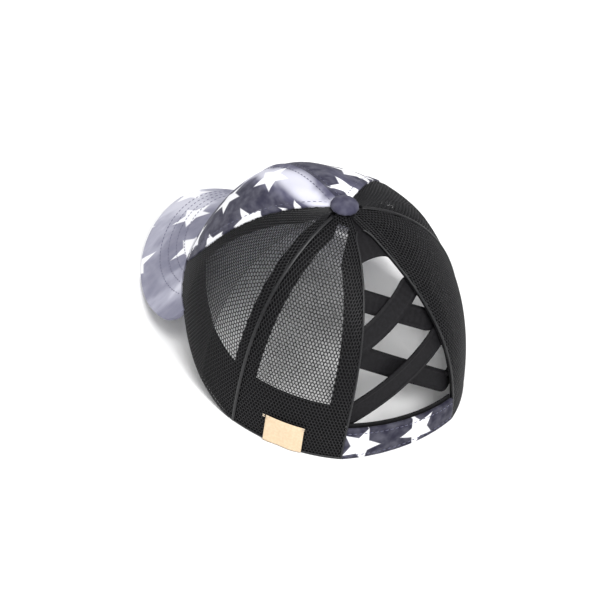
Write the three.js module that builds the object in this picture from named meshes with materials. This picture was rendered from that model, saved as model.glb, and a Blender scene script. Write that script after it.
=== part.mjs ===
import * as THREE from 'three';

// A sports cap with mesh sides and a back left open for a ponytail, lying as it rests by itself
// on the rim of its peak and on its back hem. Millimetres, +Z up. The wearer faces -Y and the
// wearer's left is +X. Angles go round the crown from the front, in degrees here, and turn
// towards the wearer's left. A height on the cloth is measured up the crown from its hem.

// The crown's hem and apex
const HALF_WIDTH = 79;
const FRONT_REACH = 92.8; // from the middle of the hem to the forehead
const BACK_ROUND = 92.8; // from the middle of the hem to the nape, if the back stayed round
const BACK_REACH = 88.5; // to the nape where the band draws the back flat
const FOREHEAD_TAPER = 1.18; // 1 is an ellipse, and more narrows the forehead
const CROWN_HEIGHT = 107.9; // from the floor to the apex
const APEX_BACK = 4.7; // the apex lies this far behind the middle of the hem
const APEX_HOLE = 3; // the panels stop short of the apex by this, under the button
const HEM_LEVEL_FROM = 25; // the hem lies on the floor from here to the back
const HEM_EASE = 1.29; // how softly the hem comes down behind the peak
// The crown's profile: spread and rise are powers, and cut is where the dome ends, in degrees
const CROWN_FORM = {
  front: { spread: 0.7, rise: 1.23, cut: 76.2 },
  side: { spread: 1.0, rise: 0.61, cut: 73.6 },
  back: { spread: 1.27, rise: 0.6, cut: 76.6 },
};

// Seams and the open back
const FRONT_SEAM = 60.2; // angle of the seam between a front panel and its side panel
const FRONT_SEAM_HEM = 37; // the angle that it has swung forward to at the hem
const FRONT_SEAM_SWING = 3.3; // power of that swing
const BACK_SEAM = 108.5;
const OPENING_HALF_HEM = 27.9; // half the opening's angle at the hem
const OPENING_HALF_TOP = 14.5; // the same at its shoulders
const OPENING_NARROWING = 1.55; // power of the narrowing
const OPENING_SHOULDER = 126; // height on the cloth where its round top begins
const OPENING_TOP = 135; // height on the cloth of its top

// The peak
const PEAK_LENGTH = 49.5;
const PEAK_THICKNESS = 2.6;
const PEAK_TIP = 63.9; // angle of the crown where the peak ends
const PEAK_FLARE = 6.7; // the peak's sides stand this far outside its tips on the crown
const PEAK_TIP_WIDTH = 1.2;
const PEAK_ROUNDING = 1.89; // 2 is an ellipse, and less is fuller at the front
const PEAK_FALL = 29.7; // the front edge lies this far below the middle of the root
const PEAK_ARCH = 53.9; // the sides lie this far below the ridge
const PEAK_ARCH_POWER = 1.83;

// Cloth, net and tapes
const PANEL_THICKNESS = 1.5;
const NET_THICKNESS = 1.2;
const SEAM_GAP = 0.3;
const LAYER_GAP = 0.4;
const SWEATBAND_HEIGHT = 34.6;
const SWEATBAND_THICKNESS = 1.2;
const TAPE_WIDTH = 16;
const TAPE_THICKNESS = 1.0;
const TAPE_HALF_ANGLE_MOST = 21; // narrows each tape where the seams meet
const TAPE_END = 9; // the tapes stop short of the apex by this
const FACING_WIDTH = 11;
const FACING_THICKNESS = 1.2;
const FACING_END = 7; // the facing stops short of the apex by this
const WEB_FOOT = 114; // height of the web's lower edge where it meets the opening's sides
const WEB_CREST = 3; // its middle lies this much higher

// Back band, its lining, the straps, the label and the button
const BAND_HEIGHT_LEFT = 21;
const BAND_HEIGHT_RIGHT = 16;
const BAND_THICKNESS = 2.0;
const LINING_SHOWS = 2; // the lining stands this much above the band
const LINING_THICKNESS = 1.0;
const STRAP_WIDTH = 12.4;
const STRAP_THICKNESS = 1.0;
const STRAP_TAB = 8; // length sewn under the facing at each end
const STRAP_TAUTNESS = { outer: 0.2, inner: 0.9 }; // 0 follows the crown, and 1 is straight across
const STRAP_CLEARANCE = 0.8; // between the facing and the outer straps
const STRAP_CROSSING_GAP = 0.6;
// Where each strap's ends are, as shares of the opening's height on the cloth. The outer strap
// of a pair crosses over the inner one.
const STRAPS = [
  { name: 'cross_strap_upper_inner', left: 0.712, right: 0.526, layer: 'inner' },
  { name: 'cross_strap_upper_outer', left: 0.525, right: 0.698, layer: 'outer' },
  { name: 'cross_strap_lower_inner', left: 0.475, right: 0.19, layer: 'inner' },
  { name: 'cross_strap_lower_outer', left: 0.2, right: 0.44, layer: 'outer' },
];
const LABEL_ANGLE = 129.4; // angle of its middle
const LABEL_WIDTH = 22.6;
const LABEL_HEIGHT = 16.8;
const LABEL_LIFT = 0.8; // its lower edge clears the floor by this
const LABEL_THICKNESS = 0.8;
const BUTTON_RADIUS = 7.9;
const BUTTON_HEIGHT = 5;
const BUTTON_RIM = 1;

// How finely each piece is divided
const CROWN_ROWS = 14;
const SHOULDER_ROWS = 3;
const PANEL_COLUMNS = 10;
const TABLE_STEPS = 96;

const { degToRad, lerp, clamp } = THREE.MathUtils;
const BACK = Math.PI;

function steps(count, from = 0, to = 1) {
  return Array.from({ length: count + 1 }, (_, i) => lerp(from, to, i / count));
}

// The peak's top is a sloping arch, and it carries the front of the crown's hem.
function hemPlan(theta) {
  const c = Math.cos(theta);
  const x = HALF_WIDTH * Math.sin(theta);
  if (c > 0) return { x, y: -FRONT_REACH * c ** FOREHEAD_TAPER };
  const bandEnd = BACK_ROUND * Math.cos(degToRad(OPENING_HALF_HEM));
  const round = -BACK_ROUND * c;
  const drawn = bandEnd + ((round - bandEnd) * (BACK_REACH - bandEnd)) / (BACK_ROUND - bandEnd);
  return { x, y: Math.min(round, Math.max(drawn, bandEnd)) };
}

const tip = hemPlan(degToRad(PEAK_TIP));
const peakHalfWidth = tip.x + PEAK_FLARE;

function peakEdge(u) {
  const side = Math.abs(Math.sin((u * Math.PI) / 2)) ** (2 / PEAK_ROUNDING);
  const front = Math.abs(Math.cos((u * Math.PI) / 2)) ** (2 / PEAK_ROUNDING);
  const reach = FRONT_REACH + PEAK_LENGTH + tip.y;
  return { x: Math.sign(u) * peakHalfWidth * side, y: tip.y - reach * front };
}

function peakDrop(x, y) {
  const forward = ((-FRONT_REACH - y) * PEAK_FALL) / PEAK_LENGTH;
  return forward + PEAK_ARCH * (Math.abs(x) / peakHalfWidth) ** PEAK_ARCH_POWER;
}

// The root's middle is as high as it must be for the lowest stretch of the rim to touch the floor.
const rimDrops = steps(200).map((u) => peakDrop(peakEdge(u).x, peakEdge(u).y));
const peakRise = PEAK_THICKNESS + Math.max(...rimDrops);

function peakTop(x, y) {
  return peakRise - peakDrop(x, y);
}

function hemHeight(theta) {
  const { x, y } = hemPlan(theta);
  if (y < tip.y) return peakTop(x, y) - PEAK_THICKNESS;
  const share = clamp((HEM_LEVEL_FROM - y) / (HEM_LEVEL_FROM - tip.y), 0, 1);
  return (peakTop(tip.x, tip.y) - PEAK_THICKNESS) * share ** HEM_EASE;
}

function crownForm(theta) {
  const front = Math.max(Math.cos(theta), 0) ** 2;
  const back = Math.max(-Math.cos(theta), 0) ** 2;
  const mix = (key) =>
    front * CROWN_FORM.front[key] +
    (1 - front - back) * CROWN_FORM.side[key] +
    back * CROWN_FORM.back[key];
  return { spread: mix('spread'), rise: mix('rise'), cut: degToRad(mix('cut')) };
}

// A dome cut off above its equator and stretched from the apex (t = 0) to the hem (t = 1).
function domePoint(theta, t) {
  const { spread, rise, cut } = crownForm(theta);
  const psi = cut * t * t * (3 - 2 * t);
  const out = (Math.sin(psi) / Math.sin(cut)) ** spread;
  const high = Math.max((Math.cos(psi) - Math.cos(cut)) / (1 - Math.cos(cut)), 0) ** rise;
  const hem = hemPlan(theta);
  const hemZ = hemHeight(theta);
  const y = lerp(APEX_BACK, hem.y, out);
  return new THREE.Vector3(hem.x * out, y, hemZ + (CROWN_HEIGHT - hemZ) * high);
}

// Cumulative lengths from the apex to the hem, so that heights can be measured on the cloth.
const meridians = new Map();
function meridian(theta) {
  const key = theta.toFixed(9);
  if (!meridians.has(key)) {
    const points = steps(TABLE_STEPS).map((t) => domePoint(theta, t));
    const lengths = [0];
    points.slice(1).forEach((p, i) => lengths.push(lengths[i] + p.distanceTo(points[i])));
    meridians.set(key, lengths);
  }
  return meridians.get(key);
}

function crownLength(theta) {
  return meridian(theta)[TABLE_STEPS];
}

function crownPoint(theta, up) {
  const lengths = meridian(theta);
  const down = clamp(lengths[TABLE_STEPS] - up, 0, lengths[TABLE_STEPS]);
  const i = Math.max(lengths.findIndex((length) => length >= down), 1);
  const share = (down - lengths[i - 1]) / (lengths[i] - lengths[i - 1]);
  return domePoint(theta, (i - 1 + share) / TABLE_STEPS);
}

// Millimetres along the crown for each radian round it.
function spacing(theta, up) {
  const turn = 0.01;
  return crownPoint(theta + turn, up).distanceTo(crownPoint(theta - turn, up)) / (2 * turn);
}

function crownNormal(theta, up) {
  const turn = 0.01;
  const climb = 1.5;
  const inside = clamp(up, climb, crownLength(theta) - climb);
  const across = crownPoint(theta + turn, inside).sub(crownPoint(theta - turn, inside));
  const along = crownPoint(theta, inside + climb).sub(crownPoint(theta, inside - climb));
  return across.cross(along).normalize();
}

// A point under the crown's outer face, and never below the hem.
function layer(theta, up, depth) {
  const point = crownPoint(theta, up).addScaledVector(crownNormal(theta, up), -depth);
  if (up < depth) point.z = Math.max(point.z, hemHeight(theta));
  return point;
}

function facingOut(geometry) {
  const position = geometry.attributes.position;
  const index = Array.from(geometry.index.array);
  const corner = (i) => new THREE.Vector3().fromBufferAttribute(position, index[i]);
  let volume = 0;
  for (let i = 0; i < index.length; i += 3) volume += corner(i).dot(corner(i + 1).cross(corner(i + 2)));
  if (volume < 0) index.reverse();
  geometry.setIndex(index);
  geometry.computeVertexNormals();
  return geometry;
}

// A closed solid between two grids of points, outer[row][column] and inner[row][column].
function closedGrid(outer, inner) {
  const rows = outer.length;
  const columns = outer[0].length;
  const points = [...outer.flat(), ...inner.flat()];
  const top = (row, column) => row * columns + column;
  const under = (row, column) => rows * columns + top(row, column);
  const index = [];
  const quad = (a, b, c, d) => index.push(a, b, c, a, c, d);
  for (let r = 0; r < rows - 1; r++) {
    for (let c = 0; c < columns - 1; c++) {
      quad(top(r, c), top(r, c + 1), top(r + 1, c + 1), top(r + 1, c));
      index.push(under(r, c), under(r + 1, c + 1), under(r, c + 1));
      index.push(under(r, c), under(r + 1, c), under(r + 1, c + 1));
    }
    const last = columns - 1;
    quad(top(r + 1, 0), under(r + 1, 0), under(r, 0), top(r, 0));
    quad(top(r, last), under(r, last), under(r + 1, last), top(r + 1, last));
  }
  for (let c = 0; c < columns - 1; c++) {
    const last = rows - 1;
    quad(top(0, c), under(0, c), under(0, c + 1), top(0, c + 1));
    quad(top(last, c + 1), under(last, c + 1), under(last, c), top(last, c));
  }
  const geometry = new THREE.BufferGeometry().setFromPoints(points);
  geometry.setIndex(index);
  return facingOut(geometry);
}

// Cloth on the crown: place(u, v) gives the angle and the height of each of its points.
function cloth(columns, rows, place, outerDepth, innerDepth) {
  const face = (depth) =>
    rows.map((v) =>
      steps(columns).map((u) => {
        const { theta, up } = place(u, v);
        return layer(theta, up, depth);
      }),
    );
  return closedGrid(face(outerDepth), face(innerDepth));
}

// Seams and the opening's edge, as angles at a height on the cloth
const backLength = crownLength(BACK);

function frontSeam(up) {
  const down = 1 - up / crownLength(degToRad(FRONT_SEAM));
  const swing = (FRONT_SEAM - FRONT_SEAM_HEM) * Math.max(down, 0) ** FRONT_SEAM_SWING;
  return degToRad(FRONT_SEAM - swing);
}

function backSeam() {
  return degToRad(BACK_SEAM);
}

function openingHalf(up) {
  const narrowing = (OPENING_HALF_HEM - OPENING_HALF_TOP) * (up / OPENING_SHOULDER) ** OPENING_NARROWING;
  if (up <= OPENING_SHOULDER) return degToRad(OPENING_HALF_HEM - narrowing);
  const share = Math.min((up - OPENING_SHOULDER) / (OPENING_TOP - OPENING_SHOULDER), 1);
  return degToRad(OPENING_HALF_TOP) * Math.sqrt(1 - share * share);
}

function openingEdge(up) {
  return BACK - openingHalf(up);
}

// Rows of the panels, as shares of the way up, with the opening's shoulder and top among them
const shoulderShare = OPENING_SHOULDER / backLength;
const topShare = OPENING_TOP / backLength;
const panelRows = [
  ...steps(CROWN_ROWS, 0, shoulderShare),
  ...steps(SHOULDER_ROWS, shoulderShare, topShare).slice(1),
  1,
];

function panel(side, from, to, thickness) {
  const place = (u, v) => {
    const seamUp = v * backLength;
    const edge = (seam, way) => {
      const theta = seam(seamUp);
      const up = v * (crownLength(theta) - APEX_HOLE);
      return theta + (way * SEAM_GAP) / 2 / spacing(theta, up);
    };
    const theta = lerp(edge(from, 1), edge(to, -1), u);
    return { theta: side * theta, up: v * (crownLength(theta) - APEX_HOLE) };
  };
  return cloth(PANEL_COLUMNS, panelRows, place, 0, thickness);
}

function frontMiddle() {
  return 0;
}

function peakPlate() {
  const columns = 30;
  const rows = 6;
  const tipShare = 0.9;
  const face = (lower) =>
    steps(columns, -1, 1).map((u) => {
      const theta = u * degToRad(PEAK_TIP);
      const plan = hemPlan(theta);
      const normal = crownNormal(theta, 0);
      const out = new THREE.Vector2(normal.x, normal.y).normalize().multiplyScalar(LAYER_GAP);
      const root = new THREE.Vector2(plan.x, plan.y).add(out);
      const edge = peakEdge(u);
      const beyond = Math.max(Math.abs(u) - tipShare, 0) / (1 - tipShare);
      const round = Math.sqrt(1 - beyond * beyond);
      const reach = new THREE.Vector2(edge.x, edge.y).sub(root);
      const length = reach.length();
      const kept = lerp(Math.min(PEAK_TIP_WIDTH, length), length, round);
      reach.setLength(kept);
      return steps(rows).map((w) => {
        const x = root.x + reach.x * w;
        const y = root.y + reach.y * w;
        return new THREE.Vector3(x, y, peakTop(x, y) - lower);
      });
    });
  return closedGrid(face(0), face(PEAK_THICKNESS));
}

const tapeDepth = PANEL_THICKNESS + LAYER_GAP;

function sweatband() {
  const place = (u, v) => {
    const up = v * SWEATBAND_HEIGHT;
    const end = openingEdge(up) - SEAM_GAP / spacing(openingEdge(up), up);
    return { theta: lerp(-end, end, u), up };
  };
  return cloth(56, steps(3), place, tapeDepth, tapeDepth + SWEATBAND_THICKNESS);
}

function seamTape(side, seam) {
  const place = (u, v) => {
    const seamAngle = seam(v * backLength);
    const up = lerp(SWEATBAND_HEIGHT + SEAM_GAP, crownLength(seamAngle) - TAPE_END, v);
    const theta = seam(up);
    const half = Math.min(TAPE_WIDTH / 2 / spacing(theta, up), degToRad(TAPE_HALF_ANGLE_MOST));
    return { theta: side * (theta + (2 * u - 1) * half), up };
  };
  return cloth(4, steps(CROWN_ROWS), place, tapeDepth, tapeDepth + TAPE_THICKNESS);
}

// Two legs beside the opening, joined above it by a web that fills the opening's round top.
function openingFacing() {
  const legRows = 9;
  const webRows = 8;
  const foot = SWEATBAND_HEIGHT + SEAM_GAP;
  const leg = steps(legRows, foot, WEB_FOOT).map((up) => ({ up, turn: 0 }));
  const arch = steps(webRows, 0, Math.PI / 2).slice(1).map((turn) => ({ up: WEB_FOOT, turn }));
  const half = [...leg, ...arch];
  const stations = [
    ...half.map((station) => ({ ...station, side: -1 })),
    ...half.slice(0, -1).reverse().map((station) => ({ ...station, side: 1 })),
  ];
  const edge = ({ up, turn, side }, width, rise) => {
    const angle = openingHalf(up) + width / spacing(openingEdge(up), up);
    return { theta: BACK + side * angle * Math.cos(turn), up: up + rise * Math.sin(turn) };
  };
  const place = (u, v) => {
    const outer = edge(stations[v], FACING_WIDTH, backLength - FACING_END - WEB_FOOT);
    const inner = edge(stations[v], 0, WEB_CREST);
    return { theta: lerp(outer.theta, inner.theta, u), up: lerp(outer.up, inner.up, u) };
  };
  return cloth(4, [...stations.keys()], place, tapeDepth, tapeDepth + FACING_THICKNESS);
}

const strapDepth = {
  outer: tapeDepth + FACING_THICKNESS + STRAP_CLEARANCE,
  inner: tapeDepth + FACING_THICKNESS + STRAP_CLEARANCE + STRAP_THICKNESS + STRAP_CROSSING_GAP,
};

// A taut tape from one side of the opening to the other, with a tab under the facing at each end.
function crossStrap(strap) {
  const depth = strapDepth[strap.layer];
  const tabSteps = 2;
  const spanSteps = 12;
  const endAt = (side, share) => {
    const up = share * OPENING_TOP;
    const edge = BACK + side * openingHalf(up);
    return { edge, tab: edge + (side * STRAP_TAB) / spacing(edge, up), up };
  };
  const left = endAt(-1, strap.left);
  const right = endAt(1, strap.right);
  const start = layer(left.edge, left.up, depth);
  const finish = layer(right.edge, right.up, depth);
  const onCrown = (theta, up) => ({ centre: layer(theta, up, depth), normal: crownNormal(theta, up) });
  const span = steps(spanSteps).map((w) => {
    const station = onCrown(lerp(left.edge, right.edge, w), lerp(left.up, right.up, w));
    station.centre.lerp(start.clone().lerp(finish, w), STRAP_TAUTNESS[strap.layer]);
    return station;
  });
  const stations = [
    ...steps(tabSteps).slice(0, -1).map((w) => onCrown(lerp(left.tab, left.edge, w), left.up)),
    ...span,
    ...steps(tabSteps).slice(1).map((w) => onCrown(lerp(right.edge, right.tab, w), right.up)),
  ];
  const face = (deeper) =>
    stations.map(({ centre, normal }, i) => {
      const before = stations[Math.max(i - 1, 0)].centre;
      const after = stations[Math.min(i + 1, stations.length - 1)].centre;
      const across = after.clone().sub(before).cross(normal).normalize();
      return steps(2, -STRAP_WIDTH / 2, STRAP_WIDTH / 2).map((w) =>
        centre.clone().addScaledVector(across, w).addScaledVector(normal, -deeper),
      );
    });
  return closedGrid(face(0), face(STRAP_THICKNESS));
}

// A strip between the opening's lower ends.
function strip(extraHeight, outerDepth, thickness) {
  const place = (u, v) => {
    const up = v * (lerp(BAND_HEIGHT_LEFT, BAND_HEIGHT_RIGHT, u) + extraHeight);
    const half = openingHalf(up) - SEAM_GAP / spacing(openingEdge(up), up);
    return { theta: BACK + (2 * u - 1) * half, up };
  };
  return cloth(14, steps(3), place, outerDepth, outerDepth + thickness);
}

function label() {
  const middle = degToRad(LABEL_ANGLE);
  const place = (u, v) => {
    const up = LABEL_LIFT + v * LABEL_HEIGHT;
    const half = LABEL_WIDTH / 2 / spacing(middle, up);
    return { theta: lerp(middle - half, middle + half, u), up };
  };
  return cloth(6, steps(3), place, -SEAM_GAP - LABEL_THICKNESS, -SEAM_GAP);
}

function button() {
  const dome = steps(6, 0, Math.PI / 2).map((turn) => {
    const z = BUTTON_RIM + (BUTTON_HEIGHT - BUTTON_RIM) * Math.sin(turn);
    return new THREE.Vector2(BUTTON_RADIUS * Math.cos(turn), z);
  });
  dome[dome.length - 1].x = 0;
  const profile = [new THREE.Vector2(0, 0), new THREE.Vector2(BUTTON_RADIUS - BUTTON_RIM / 2, 0), ...dome];
  const geometry = new THREE.LatheGeometry(profile, 28).rotateX(Math.PI / 2);
  return facingOut(geometry.translate(0, APEX_BACK, CROWN_HEIGHT + SEAM_GAP));
}

const finishes = {
  panelCloth: { color: 0x454a60, roughness: 0.85 },
  net: { color: 0x1d1e24, roughness: 0.7 },
  peakCloth: { color: 0xb9b9c6, roughness: 0.85 },
  webbing: { color: 0x15161a, roughness: 0.65 },
  lining: { color: 0x1b1c22, roughness: 0.9 },
  bandCloth: { color: 0x2f3148, roughness: 0.85 },
  labelCloth: { color: 0xe3cdb2, roughness: 0.8 },
};

const cap = new THREE.Group();

function addPiece(name, geometry, finish) {
  const material = new THREE.MeshStandardMaterial({ ...finishes[finish], metalness: 0 });
  const mesh = new THREE.Mesh(geometry, material);
  mesh.name = name;
  cap.add(mesh);
}

for (const [side, hand] of [[1, 'left'], [-1, 'right']]) {
  addPiece(`front_panel_${hand}`, panel(side, frontMiddle, frontSeam, PANEL_THICKNESS), 'panelCloth');
  addPiece(`side_mesh_${hand}`, panel(side, frontSeam, backSeam, NET_THICKNESS), 'net');
  addPiece(`back_mesh_${hand}`, panel(side, backSeam, openingEdge, NET_THICKNESS), 'net');
  addPiece(`seam_tape_front_${hand}`, seamTape(side, frontSeam), 'webbing');
  addPiece(`seam_tape_back_${hand}`, seamTape(side, backSeam), 'webbing');
}
addPiece('peak', peakPlate(), 'peakCloth');
addPiece('sweatband', sweatband(), 'lining');
addPiece('opening_facing', openingFacing(), 'webbing');
for (const strap of STRAPS) addPiece(strap.name, crossStrap(strap), 'webbing');
addPiece('back_band', strip(0, 0, BAND_THICKNESS), 'bandCloth');
addPiece('band_lining', strip(LINING_SHOWS, BAND_THICKNESS + LAYER_GAP, LINING_THICKNESS), 'lining');
addPiece('label', label(), 'labelCloth');
addPiece('button', button(), 'bandCloth');

// The origin is the middle of the whole cap, on the floor.
const box = new THREE.Box3().setFromObject(cap);
const middle = box.getCenter(new THREE.Vector3());
cap.position.set(-middle.x, -middle.y, -box.min.z);

export default cap;
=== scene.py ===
# %% [markdown]
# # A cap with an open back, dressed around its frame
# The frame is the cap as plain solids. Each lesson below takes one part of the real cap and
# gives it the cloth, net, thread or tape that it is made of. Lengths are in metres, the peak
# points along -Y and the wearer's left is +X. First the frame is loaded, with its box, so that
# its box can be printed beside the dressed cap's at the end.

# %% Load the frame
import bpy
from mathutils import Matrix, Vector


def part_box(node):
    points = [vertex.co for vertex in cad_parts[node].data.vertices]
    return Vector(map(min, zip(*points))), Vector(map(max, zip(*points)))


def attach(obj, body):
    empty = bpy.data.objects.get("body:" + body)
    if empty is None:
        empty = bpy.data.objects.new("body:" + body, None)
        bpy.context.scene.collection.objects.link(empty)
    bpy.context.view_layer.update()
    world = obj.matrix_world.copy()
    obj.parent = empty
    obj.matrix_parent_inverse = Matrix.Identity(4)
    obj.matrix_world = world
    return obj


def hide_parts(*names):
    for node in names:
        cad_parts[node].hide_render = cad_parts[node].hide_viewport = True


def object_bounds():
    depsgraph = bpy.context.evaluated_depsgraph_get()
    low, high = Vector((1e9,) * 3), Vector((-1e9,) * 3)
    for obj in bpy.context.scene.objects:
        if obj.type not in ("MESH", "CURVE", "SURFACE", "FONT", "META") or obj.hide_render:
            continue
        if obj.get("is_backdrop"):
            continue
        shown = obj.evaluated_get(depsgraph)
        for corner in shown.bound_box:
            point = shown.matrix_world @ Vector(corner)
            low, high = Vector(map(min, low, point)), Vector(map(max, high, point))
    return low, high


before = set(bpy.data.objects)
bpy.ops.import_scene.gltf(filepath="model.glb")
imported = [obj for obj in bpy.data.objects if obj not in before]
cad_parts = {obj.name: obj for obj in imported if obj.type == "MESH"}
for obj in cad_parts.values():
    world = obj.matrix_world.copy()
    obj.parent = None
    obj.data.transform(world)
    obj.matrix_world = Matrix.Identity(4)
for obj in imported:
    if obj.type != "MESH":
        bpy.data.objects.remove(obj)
cad_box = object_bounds()
print("frame:", len(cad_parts), "pieces")

# %% Tools of the lesson
import math
import bmesh
import bpy
import numpy as np
from mathutils import Matrix, Vector

MM = 0.001
BACK = math.pi
scene = bpy.context.scene


def lerp(a, b, share):
    return a + (b - a) * share


def smooth(x, low, high):
    share = np.clip((x - low) / (high - low), 0, 1)
    return share * share * (3 - 2 * share)


def bell(x, middle, width):
    """1 at the middle and 0 well away from it, for ridges and grooves."""
    return np.exp(-((x - middle) / width) ** 2)


# %% [markdown]
# ## The shape that every piece lies on
# A cap is sewn from flat cloth, but worn caps settle to one smooth dome. A formula for that
# dome lets every panel, tape and strand be laid on it, at an angle round the head and at a
# height measured up the cloth. The crown is a dome cut off above its equator: `spread` says how
# soon it widens, `rise` how full its shoulders are, and `cut` where it stops. A table of points
# would do too, but a formula stays smooth at any fineness. The sizes repeat the frame's.

# %% Sizes of the crown and the peak
HALF_WIDTH = 79 * MM
FRONT_REACH = 92.8 * MM
BACK_ROUND = 92.8 * MM
BACK_REACH = 88.5 * MM
FOREHEAD_TAPER = 1.18
CROWN_HEIGHT = 107.9 * MM
APEX_BACK = 4.7 * MM
APEX_HOLE = 3 * MM
HEM_LEVEL_FROM = 25 * MM
HEM_EASE = 1.29
CROWN_FORM = np.array([  # columns are front, side and back
    [0.70, 1.00, 1.27],  # spread
    [1.23, 0.61, 0.60],  # rise
    np.radians([76.2, 73.6, 76.6]),  # cut
])
FRONT_SEAM, FRONT_SEAM_HEM = np.radians([60.2, 37])
FRONT_SEAM_SWING = 3.3
BACK_SEAM = math.radians(108.5)
OPENING_HALF_HEM, OPENING_HALF_TOP = np.radians([27.9, 14.5])
OPENING_NARROWING = 1.55
OPENING_SHOULDER = 126 * MM
OPENING_TOP = 135 * MM
PEAK_LENGTH = 49.5 * MM
PEAK_THICKNESS = 2.6 * MM
PEAK_TIP = math.radians(63.9)
PEAK_FLARE = 6.7 * MM
PEAK_TIP_WIDTH = 1.2 * MM
PEAK_ROUNDING = 1.89
PEAK_FALL = 29.7 * MM
PEAK_ARCH = 53.9 * MM
PEAK_ARCH_POWER = 1.83

# The button sits on the apex, so its box says where the crown's middle is.
button_low, button_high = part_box("button")
CROWN_Y = (button_low.y + button_high.y) / 2 - APEX_BACK
print("crown's middle at y =", round(CROWN_Y, 4))


# %% Hem and peak as formulas
def hem_plan(theta):
    c = np.cos(theta)
    front = -FRONT_REACH * np.maximum(c, 0) ** FOREHEAD_TAPER
    round_y = -BACK_ROUND * c
    end = BACK_ROUND * math.cos(OPENING_HALF_HEM)
    drawn = end + (round_y - end) * (BACK_REACH - end) / (BACK_ROUND - end)
    back = np.minimum(round_y, np.maximum(drawn, end))
    return HALF_WIDTH * np.sin(theta), np.where(c > 0, front, back)


TIP_X, TIP_Y = (float(value) for value in hem_plan(PEAK_TIP))
PEAK_HALF_WIDTH = TIP_X + PEAK_FLARE


def peak_edge(u):
    side = np.abs(np.sin(u * np.pi / 2)) ** (2 / PEAK_ROUNDING)
    front = np.abs(np.cos(u * np.pi / 2)) ** (2 / PEAK_ROUNDING)
    reach = FRONT_REACH + PEAK_LENGTH + TIP_Y
    return np.sign(u) * PEAK_HALF_WIDTH * side, TIP_Y - reach * front


def peak_drop(x, y):
    forward = (-FRONT_REACH - y) * PEAK_FALL / PEAK_LENGTH
    return forward + PEAK_ARCH * (np.abs(x) / PEAK_HALF_WIDTH) ** PEAK_ARCH_POWER


PEAK_RISE = PEAK_THICKNESS + peak_drop(*peak_edge(np.linspace(0, 1, 201))).max()


def hem_height(theta):
    x, y = hem_plan(theta)
    on_peak = PEAK_RISE - peak_drop(x, y) - PEAK_THICKNESS
    tip_height = PEAK_RISE - peak_drop(TIP_X, TIP_Y) - PEAK_THICKNESS
    share = np.clip((HEM_LEVEL_FROM - y) / (HEM_LEVEL_FROM - TIP_Y), 0, 1)
    return np.where(y < TIP_Y, on_peak, tip_height * share ** HEM_EASE)


# %% The dome, measured along its cloth
def dome_point(theta, t):
    front = np.maximum(np.cos(theta), 0) ** 2
    back = np.maximum(-np.cos(theta), 0) ** 2
    spread, rise, cut = np.tensordot(CROWN_FORM, np.stack([front, 1 - front - back, back]), 1)
    psi = cut * t * t * (3 - 2 * t)
    out = (np.sin(psi) / np.sin(cut)) ** spread
    high = np.maximum((np.cos(psi) - np.cos(cut)) / (1 - np.cos(cut)), 0) ** rise
    x, y = hem_plan(theta)
    z = hem_height(theta)
    return np.stack([x * out, lerp(APEX_BACK, y, out) + CROWN_Y, z + (CROWN_HEIGHT - z) * high], -1)


TURNS = np.linspace(0, np.pi, 181)
SHARES = np.linspace(0, 1, 193)
outline = dome_point(*np.meshgrid(TURNS, SHARES, indexing="ij"))
arc_steps = np.linalg.norm(np.diff(outline, axis=1), axis=2)
arc_lengths = np.concatenate([np.zeros((len(TURNS), 1)), np.cumsum(arc_steps, axis=1)], axis=1)
DOWNS = np.linspace(0, arc_lengths.max(), 401)
share_table = np.array([np.interp(DOWNS, row, SHARES) for row in arc_lengths])


def crown_length(theta):
    turn = np.abs((theta + np.pi) % (2 * np.pi) - np.pi)
    return np.interp(turn, TURNS, arc_lengths[:, -1])


def crown_point(theta, up):
    theta, up = np.broadcast_arrays(np.asarray(theta, float), np.asarray(up, float))
    turn = np.abs((theta + np.pi) % (2 * np.pi) - np.pi)
    length = crown_length(theta)
    row = turn / np.pi * (len(TURNS) - 1)
    column = np.clip(length - up, 0, length) / DOWNS[-1] * (len(DOWNS) - 1)
    i = np.minimum(row.astype(int), len(TURNS) - 2)
    k = np.minimum(column.astype(int), len(DOWNS) - 2)
    across, along = row - i, column - k
    near = lerp(share_table[i, k], share_table[i, k + 1], along)
    far = lerp(share_table[i + 1, k], share_table[i + 1, k + 1], along)
    return dome_point(theta, lerp(near, far, across))


def spacing(theta, up, turn=0.01):
    """Metres along the crown for each radian round it."""
    apart = crown_point(theta + turn, up) - crown_point(theta - turn, up)
    return np.linalg.norm(apart, axis=-1) / (2 * turn)


def crown_normal(theta, up, turn=0.01, climb=1.5 * MM):
    inside = np.clip(up, climb, crown_length(theta) - climb)
    across = crown_point(theta + turn, inside) - crown_point(theta - turn, inside)
    along = crown_point(theta, inside + climb) - crown_point(theta, inside - climb)
    normal = np.cross(across, along)
    return normal / np.linalg.norm(normal, axis=-1, keepdims=True)


def layer(theta, up, depth):
    """Points under the crown's outer face by a depth, which may be negative."""
    depth = np.asarray(depth, float)[..., None] if np.ndim(depth) else depth
    return crown_point(theta, up) - crown_normal(theta, up) * depth


BACK_LENGTH = float(crown_length(BACK))
print("cloth from hem to apex at the back:", round(BACK_LENGTH / MM, 1), "mm")


# %% Seams, as angles at a height
def front_middle(up):
    return np.zeros_like(up)


def front_seam(up):
    down = np.clip(1 - up / float(crown_length(FRONT_SEAM)), 0, 1)
    return FRONT_SEAM - (FRONT_SEAM - FRONT_SEAM_HEM) * down ** FRONT_SEAM_SWING


def back_seam(up):
    return np.full_like(up, BACK_SEAM)


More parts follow.
